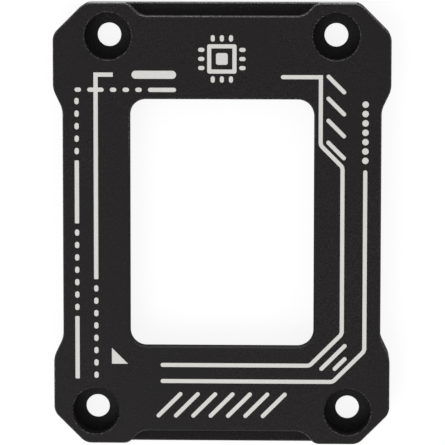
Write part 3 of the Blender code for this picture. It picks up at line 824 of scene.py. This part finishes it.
def toned_material(name, colour, grain, bump_distance):
    """Material whose colour is multiplied by the grain's tone, and whose bump is the grain's height.

    Its nodes have names by which a finish finds them again: place, grain, tint and bump.
    """
    material = bpy.data.materials.new(name)
    material.use_nodes = True
    tree = material.node_tree
    place = add_node(tree, "ShaderNodeTexCoord", {}, name="place")
    texture = add_node(tree, "ShaderNodeGroup", {"Vector": place.outputs["Object"], **grain},
                       name="grain", node_tree=grain_group()).outputs
    tint = add_node(tree, "ShaderNodeVectorMath", {0: colour, "Scale": texture["Tone"]},
                    name="tint", operation="SCALE")
    bump = add_node(tree, "ShaderNodeBump",
                    {"Strength": 1.0, "Distance": bump_distance, "Height": texture["Height"]},
                    name="bump")
    feed(tree, tree.nodes["Principled BSDF"],
         {"Base Color": tint.outputs[0], "Normal": bump.outputs["Normal"], "Metallic": 0.0})
    return material


def anodised_material(finish):
    """Black anodised layer on bead-blasted metal, with painted highlight flecks on its chamfers.

    A chamfer is where the height of the surface's normal, n_z, lies within EDGE_SPREAD of
    EDGE_LEAN. There painted_glint_colour is added as a painted highlight, in flecks where the grain
    stands high, and in full only farther than GLINT_DISTANCES from GLINT_FREE_PLACE. Upright walls,
    where n_z lies within WALL_LEAN of 0, and ledges, which lie at LEDGE_HEIGHT, are rougher, as the
    mill leaves them. The two end walls, where |y| is HALF_LENGTH, are smoother, and the grain has no
    height there.
    """
    material = toned_material("black_anodised", finish.anodise_colour,
                              {"Grain Scale": finish.grain_scale}, finish.grain_depth)
    tree = material.node_tree
    place = tree.nodes["place"].outputs
    height = tree.nodes["grain"].outputs["Height"]
    spot, lean = (add_node(tree, "ShaderNodeSeparateXYZ", {0: place[name]}).outputs
                  for name in ("Object", "Normal"))
    ledge = maths(tree, "COMPARE", spot["Z"], LEDGE_HEIGHT, PLANE_SPREAD)
    end = maths(tree, "COMPARE", maths(tree, "ABSOLUTE", spot["Y"]), HALF_LENGTH, PLANE_SPREAD)
    wall = maths(tree, "COMPARE", lean["Z"], 0.0, WALL_LEAN)
    edge = maths(tree, "COMPARE", lean["Z"], EDGE_LEAN, EDGE_SPREAD)
    rough = ranged(tree, height, result=(finish.roughness - ROUGHNESS_SPREAD,
                                         finish.roughness + ROUGHNESS_SPREAD))
    for mask, amount in ((ledge, finish.ledge_roughness), (wall, finish.wall_roughness),
                         (end, -finish.end_smoothness)):
        rough = maths(tree, "MULTIPLY_ADD", mask, amount, rough)
    # Painted highlight: a pale colour added in flecks on the chamfers, in full only far from a place in
    # the lower middle of the face
    away = add_node(tree, "ShaderNodeVectorMath", {0: place["Object"], 1: GLINT_FREE_PLACE},
                    operation="DISTANCE")
    glint_reach = ranged(tree, away.outputs["Value"], span=GLINT_DISTANCES)
    glint_fleck = ranged(tree, height, span=GLINT_FLECK_HEIGHTS)
    share = maths(tree, "MULTIPLY", maths(tree, "MULTIPLY", edge, glint_reach), glint_fleck)
    glinted_tint = add_node(tree, "ShaderNodeVectorMath",
                    {0: share, 1: finish.painted_glint_colour, 2: tree.nodes["tint"].outputs[0]},
                    operation="MULTIPLY_ADD")
    feed(tree, tree.nodes["bump"], {"Strength": maths(tree, "SUBTRACT", 1.0, end)})
    feed(tree, tree.nodes["Principled BSDF"],
         {"Base Color": glinted_tint.outputs[0], "Roughness": rough, "IOR": 1.6, "Specular IOR Level": 0.15})
    return material


def mark_material(finish):
    """Bare metal laid open by a laser: fine scan lines over a pale, satin ground.

    The scan lines are a sine of the place across them, one wave for each pass of the beam.
    """
    material = toned_material("laser_engraved", finish.mark_colour, METAL_GRAIN, METAL_GRAIN_DEPTH)
    tree = material.node_tree
    lines = add_node(tree, "ShaderNodeTexWave",
                     {"Vector": tree.nodes["place"].outputs["Object"], "Scale": finish.scan_scale,
                      "Distortion": 0.4, "Detail": 1.0},
                     wave_type="BANDS", bands_direction="DIAGONAL", wave_profile="SIN")
    rough = ranged(tree, lines.outputs["Fac"], result=METAL_ROUGHNESS)
    feed(tree, tree.nodes["Principled BSDF"], {"Roughness": rough, "Specular IOR Level": 0.5})
    return material


def stage_material(stage):
    """Pale floor that camera, glossy and see-through rays find bright, and that takes a shadow."""
    material = bpy.data.materials.new("stage_white")
    material.use_nodes = True
    tree = material.node_tree
    tree.nodes.clear()
    rays = add_node(tree, "ShaderNodeLightPath", {}).outputs
    seen = maths(tree, "MAXIMUM", rays["Is Camera Ray"], rays["Is Glossy Ray"])
    seen = maths(tree, "MAXIMUM", seen, rays["Is Transmission Ray"])
    strength = maths(tree, "MULTIPLY", seen, stage.floor_glow)
    matt = add_node(tree, "ShaderNodeBsdfDiffuse", {"Color": (*stage.floor_colour, 1.0)})
    glow = add_node(tree, "ShaderNodeEmission", {"Color": WHITE, "Strength": strength})
    both = add_node(tree, "ShaderNodeAddShader", {0: matt.outputs[0], 1: glow.outputs[0]})
    add_node(tree, "ShaderNodeOutputMaterial", {"Surface": both.outputs[0]})
    return material


def add_floor(stage):
    """Flat square floor a hair under the frame: S(u, v) = (size (u - 1/2), size (v - 1/2), -gap)."""
    side = np.linspace(-0.5, 0.5, 2) * stage.floor_size
    x, y = np.meshgrid(side, side)
    points = np.stack([x, y, np.full_like(x, -FLOOR_GAP)], axis=2).reshape(-1, 3)
    mesh = bpy.data.meshes.new("stage_floor")
    mesh.from_pydata(points.tolist(), [], [(0, 1, 3, 2)])
    mesh.materials.append(stage_material(stage))
    floor = bpy.data.objects.new("stage_floor", mesh)
    bpy.context.scene.collection.objects.link(floor)


def add_lamp(name, place, size, power):
    """Soft light of the given width and height that faces the frame."""
    lamp = bpy.data.lights.new(name, "AREA")
    lamp.shape = "RECTANGLE"
    lamp.size, lamp.size_y = size
    lamp.energy = power
    light = bpy.data.objects.new(name, lamp)
    light.location = place
    light.rotation_euler = (-Vector(place)).to_track_quat("-Z", "Y").to_euler()
    bpy.context.scene.collection.objects.link(light)


def set_world(stage):
    """Even studio light from all round, and plain white where the camera looks past the floor."""
    world = bpy.data.worlds.new("studio")
    world.use_nodes = True
    tree = world.node_tree
    rays = add_node(tree, "ShaderNodeLightPath", {}).outputs
    strength = ranged(tree, rays["Is Camera Ray"], result=(stage.world_strength, 1.0))
    feed(tree, tree.nodes["Background"], {"Color": WHITE, "Strength": strength})
    bpy.context.scene.world = world


def add_camera(stage):
    """Long lens over the frame, leaned by two small tilts about the middle of the marked face.

    With the turn T from the frame's axes to the camera's, and the aim A at which the middle of the
    face M lies in the camera's axes, the camera stands at M - T' A, where T' turns back.
    """
    lens = bpy.data.cameras.new("camera")
    lens.sensor_width = FILM_WIDTH
    lens.lens = stage.lens
    lens.clip_start = NEAREST
    lens.clip_end = FARTHEST
    camera = bpy.data.objects.new("camera", lens)
    tilt_x = Matrix.Rotation(stage.camera_tilt_x, 3, "X")
    tilt_y = Matrix.Rotation(stage.camera_tilt_y, 3, "Y")
    turn = tilt_x @ tilt_y @ Matrix.Rotation(stage.camera_roll, 3, "Z")
    aim = Vector((stage.camera_aim_x, stage.camera_aim_y, -stage.camera_distance))
    place = Vector((0.0, 0.0, FACE)) - turn.transposed() @ aim
    camera.matrix_world = Matrix.Translation(place) @ turn.transposed().to_4x4()
    bpy.context.scene.collection.objects.link(camera)
    bpy.context.scene.camera = camera


class SOCKETFRAME_PG_sizes(bpy.types.PropertyGroup):
    """Sizes of edges and marks."""

    edge_break: FloatProperty(name="Edge Break", description="Chamfer on the edges",
                              default=0.2 * MM, unit="LENGTH", precision=5)
    edge_softness: FloatProperty(name="Edge Softness", description="Rounding of the small edges",
                                 default=0.04 * MM, unit="LENGTH", precision=5)
    mark_width: FloatProperty(name="Line Width", description="Width of lines and strokes",
                              default=0.68 * MM, unit="LENGTH", precision=5)
    dot_width: FloatProperty(name="Dot Width", description="Width of dots and of the left line",
                             default=0.71 * MM, unit="LENGTH", precision=5)
    mark_depth: FloatProperty(name="Mark Depth", description="Depth of the engraved pockets",
                              default=0.1 * MM, unit="LENGTH", precision=5)
    mark_sink: FloatProperty(name="Mark Sink", description="Depth of the bare metal under the face",
                             default=0.04 * MM, unit="LENGTH", precision=5)
    mark_lip: FloatProperty(name="Mark Lip", description="Broken edge round each pocket",
                            default=0.015 * MM, unit="LENGTH", precision=5)
    mark_clearance: FloatProperty(name="Mark Clearance",
                                  description="Gap between the bare metal and the pocket's wall",
                                  default=0.004 * MM, unit="LENGTH", precision=6)
    arc_points: IntProperty(name="Corner Points", description="Points in a corner's arc", default=17)
    hole_points: IntProperty(name="Hole Points", description="Points round a screw hole", default=128)
    edge_points: IntProperty(name="Edge Points", description="Points in a rounded edge", default=4)
    mark_arc_points: IntProperty(name="Mark Points", description="Points in a mark's arc", default=7)


class SOCKETFRAME_PG_finish(bpy.types.PropertyGroup):
    """Colours and finishes."""

    anodise_colour: FloatVectorProperty(name="Anodise", description="Colour of the black layer",
                                        subtype="COLOR", size=3, min=0.0, max=1.0,
                                        default=(0.0065, 0.005, 0.0055))
    mark_colour: FloatVectorProperty(name="Bare Metal", description="Colour of the engraved marks",
                                     subtype="COLOR", size=3, min=0.0, max=1.0,
                                     default=(0.68, 0.668, 0.641))
    roughness: FloatProperty(name="Roughness", description="Roughness of the black layer",
                             default=0.52, min=0.0, max=1.0, subtype="FACTOR")
    wall_roughness: FloatProperty(name="Wall Roughness", description="Roughness added on upright walls",
                                  default=0.4, min=0.0, max=1.0, subtype="FACTOR")
    ledge_roughness: FloatProperty(name="Ledge Roughness", description="Roughness added on the ledges",
                                   default=0.18, min=0.0, max=1.0, subtype="FACTOR")
    end_smoothness: FloatProperty(name="End Smoothness", description="Roughness taken off end walls",
                                  default=0.68, min=0.0, max=1.0, subtype="FACTOR")
    # Pale colour painted on the chamfers as their highlight, in flecks
    painted_glint_colour: FloatVectorProperty(name="Painted Glint", description="Colour painted on chamfers as their highlight",
                                     subtype="COLOR", size=3, min=0.0, max=1.0,
                                     default=(0.09, 0.088, 0.086))
    grain_scale: FloatProperty(name="Grain Scale", description="Blasted grains per metre",
                               default=BLACK_GRAIN["Grain Scale"])
    grain_depth: FloatProperty(name="Grain Depth", description="Height of the blasted grains",
                               default=0.012 * MM, unit="LENGTH", precision=6)
    scan_scale: FloatProperty(name="Scan Scale", description="Density of the laser's scan lines",
                              default=900.0)


class SOCKETFRAME_PG_stage(bpy.types.PropertyGroup):
    """Floor, light and camera."""

    floor_size: FloatProperty(name="Floor Size", description="Side of the floor",
                              default=3.0, unit="LENGTH")
    floor_colour: FloatVectorProperty(name="Floor", description="Colour of the floor",
                                      subtype="COLOR", size=3, min=0.0, max=1.0,
                                      default=(0.17, 0.17, 0.17))
    floor_glow: FloatProperty(name="Floor Glow",
                              description="Light that the floor adds where it is seen", default=0.87)
    world_strength: FloatProperty(name="World Strength", description="Strength of the even light",
                                  default=0.74)
    lamp_power: FloatProperty(name="Lamp Power", description="Power of the main soft light",
                              default=3.3, unit="POWER")
    strip_power: FloatProperty(name="Strip Power", description="Power of the low strip light",
                               default=10.0, unit="POWER")
    lens: FloatProperty(name="Lens", description="Focal length in millimetres", default=261.23)
    camera_distance: FloatProperty(name="Camera Distance", description="Distance to the face",
                                   default=517.02 * MM, unit="LENGTH")
    camera_tilt_x: FloatProperty(name="Camera Tilt X", description="Tilt about the X axis",
                                 default=0.11187, unit="ROTATION")
    camera_tilt_y: FloatProperty(name="Camera Tilt Y", description="Tilt about the Y axis",
                                 default=-0.03069, unit="ROTATION")
    camera_roll: FloatProperty(name="Camera Roll", description="Turn about the line of sight",
                               default=-0.00082, unit="ROTATION")
    camera_aim_x: FloatProperty(name="Camera Aim X", description="Face's middle right of the centre",
                                default=-0.127 * MM, unit="LENGTH", precision=6)
    camera_aim_y: FloatProperty(name="Camera Aim Y", description="Face's middle above the centre",
                                default=-0.403 * MM, unit="LENGTH", precision=6)


class SOCKETFRAME_OT_body(bpy.types.Operator):
    """Build the milled and anodised frame"""

    bl_idname = "socketframe.body"
    bl_label = "Frame Body"

    def execute(self, context):
        scene = context.scene
        body = new_piece("frame_body", frame_mesh(scene.socketframe_sizes),
                         anodised_material(scene.socketframe_finish))
        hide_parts(NODE)
        return {"FINISHED"}


class SOCKETFRAME_OT_marks(bpy.types.Operator):
    """Build the bare metal of the engraved marks"""

    bl_idname = "socketframe.marks"
    bl_label = "Engraved Marks"

    def execute(self, context):
        scene = context.scene
        new_piece("engraved_marks", mark_mesh(scene.socketframe_sizes),
                  mark_material(scene.socketframe_finish))
        return {"FINISHED"}


class SOCKETFRAME_OT_stage(bpy.types.Operator):
    """Build the floor, the lights and the camera"""

    bl_idname = "socketframe.stage"
    bl_label = "Stage"

    def execute(self, context):
        stage = context.scene.socketframe_stage
        add_floor(stage)
        add_lamp("main_light", *MAIN_LIGHT, stage.lamp_power)
        add_lamp("strip_light", *STRIP_LIGHT, stage.strip_power)
        set_world(stage)
        add_camera(stage)
        context.scene.view_settings.view_transform = "Standard"
        return {"FINISHED"}


class SOCKETFRAME_PT_panel(bpy.types.Panel):
    """Lists the pieces, their sizes and their finishes."""

    bl_label = "Socket Frame"
    bl_idname = "SOCKETFRAME_PT_panel"
    bl_space_type = "VIEW_3D"
    bl_region_type = "UI"
    bl_category = "Socket Frame"

    def draw(self, context):
        layout = self.layout
        for operator in OPERATORS:
            layout.operator(operator.bl_idname)
        for group in (context.scene.socketframe_sizes, context.scene.socketframe_finish,
                      context.scene.socketframe_stage):
            box = layout.box()
            for name in group.__annotations__:
                box.prop(group, name)


GROUPS = (("socketframe_sizes", SOCKETFRAME_PG_sizes), ("socketframe_finish", SOCKETFRAME_PG_finish),
          ("socketframe_stage", SOCKETFRAME_PG_stage))
OPERATORS = (SOCKETFRAME_OT_body, SOCKETFRAME_OT_marks, SOCKETFRAME_OT_stage)


def register():
    for name, group in GROUPS:
        bpy.utils.register_class(group)
        setattr(bpy.types.Scene, name, PointerProperty(type=group))
    for operator in OPERATORS:
        bpy.utils.register_class(operator)
    bpy.utils.register_class(SOCKETFRAME_PT_panel)


def unregister():
    bpy.utils.unregister_class(SOCKETFRAME_PT_panel)
    for operator in reversed(OPERATORS):
        bpy.utils.unregister_class(operator)
    for name, group in reversed(GROUPS):
        delattr(bpy.types.Scene, name)
        bpy.utils.unregister_class(group)


def main():
    register()
    bpy.ops.socketframe.body()
    bpy.ops.socketframe.marks()
    bpy.ops.socketframe.stage()


if __name__ == "__main__":
    main()
